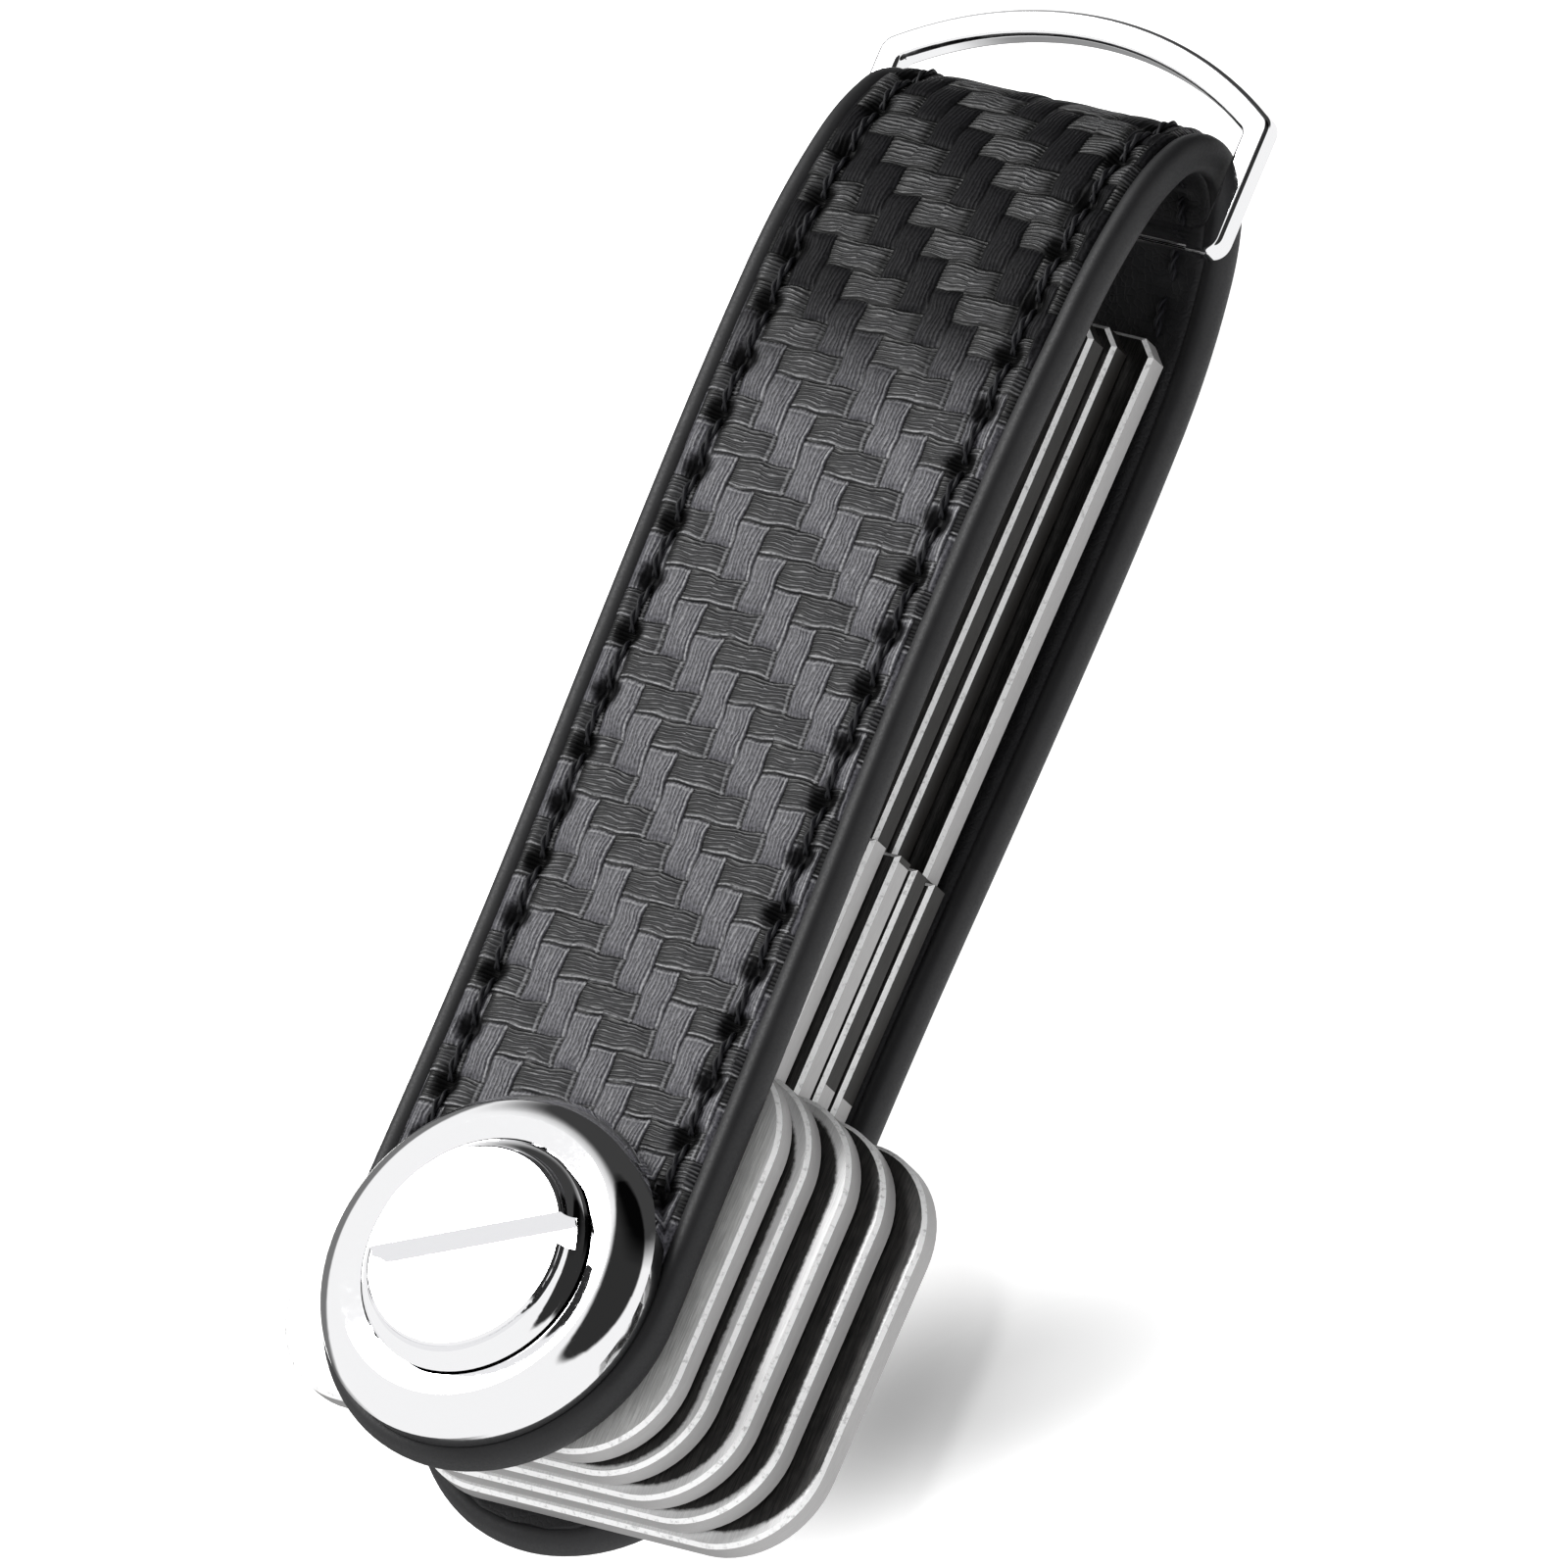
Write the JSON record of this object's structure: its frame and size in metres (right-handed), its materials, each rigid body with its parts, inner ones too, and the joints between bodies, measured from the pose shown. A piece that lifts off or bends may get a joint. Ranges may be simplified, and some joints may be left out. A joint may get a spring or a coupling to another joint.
{
  "type": "key organiser",
  "caption": "Pocket key organiser: a folded leather band clamps flat keys between two round metal caps on a coin-slot screw, with a D-ring through its fold.",
  "frame": {"origin": "centre of the rear cap's flat face, on the clamp screw's axis", "axes": "+Z along the clamp screw towards its coin slot, +Y along the band towards the fold and the D-ring, +X across the band"},
  "size_m": [0.0359, 0.1002, 0.0206],
  "materials": {
    "embossed_leather": "black leather embossed with a 2x2 twill, semi-gloss",
    "core_board": "leather board with painted black edge",
    "lining_leather": "smooth black leather, matt",
    "thread": "waxed twisted thread",
    "nickel": "plain nickel-plated",
    "chrome": "mirror polished",
    "nylon": "satin",
    "key_steel": "brushed, with dark milled grooves"
  },
  "bodies": {
    "band": {"band_outer_skin": "embossed_leather", "band_core": "core_board", "band_lining": "lining_leather", "stitching_left": "thread", "stitching_right": "thread", "front_eyelet": "nickel", "rear_eyelet": "nickel", "front_cap": "chrome", "rear_cap": "chrome", "threaded_post": "chrome", "spacer_1": "nickel", "spacer_2": "nickel", "spacer_3": "nickel", "spacer_4": "nickel", "spacer_5": "nickel", "spacer_6": "nickel"},
    "screw_washer": {"screw_washer": "nylon"},
    "clamp_screw": {"clamp_screw": "chrome"},
    "d_ring": {"d_ring": "chrome"},
    "key_1": {"key_1": "key_steel"},
    "key_2": {"key_2": "key_steel"},
    "key_3": {"key_3": "key_steel"},
    "key_4": {"key_4": "key_steel"},
    "key_5": {"key_5": "key_steel"}
  },
  "joints": [
    {"name": "key_1_swing", "type": "hinge", "parent": "band", "child": "key_1", "pos_m": [0, 0, 0.00877], "axis": [0, 0, 1], "continuous": true},
    {"name": "key_2_swing", "type": "hinge", "parent": "band", "child": "key_2", "pos_m": [0, 0, 0.00877], "axis": [0, 0, 1], "continuous": true},
    {"name": "key_3_swing", "type": "hinge", "parent": "band", "child": "key_3", "pos_m": [0, 0, 0.00877], "axis": [0, 0, 1], "continuous": true},
    {"name": "key_4_swing", "type": "hinge", "parent": "band", "child": "key_4", "pos_m": [0, 0, 0.00877], "axis": [0, 0, 1], "continuous": true},
    {"name": "key_5_swing", "type": "hinge", "parent": "band", "child": "key_5", "pos_m": [0, 0, 0.00877], "axis": [0, 0, 1], "continuous": true},
    {"name": "screw_lift", "type": "slide", "parent": "band", "child": "screw_washer", "axis": [0, 0, 1], "range_m": [0, 0.001]},
    {"name": "screw_turn", "type": "hinge", "parent": "screw_washer", "child": "clamp_screw", "pos_m": [0, 0, 0.01785], "axis": [0, 0, 1], "range_deg": [0, 720]},
    {"name": "d_ring_swing", "type": "hinge", "parent": "band", "child": "d_ring", "pos_m": [0, 0.0756, 0.00828], "axis": [1, 0, 0], "range_deg": [-80, 80]}
  ],
  "couplings": [
    {"joint": "screw_lift", "follows": "screw_turn", "m_per_rad": 0.000079577}
  ]
}
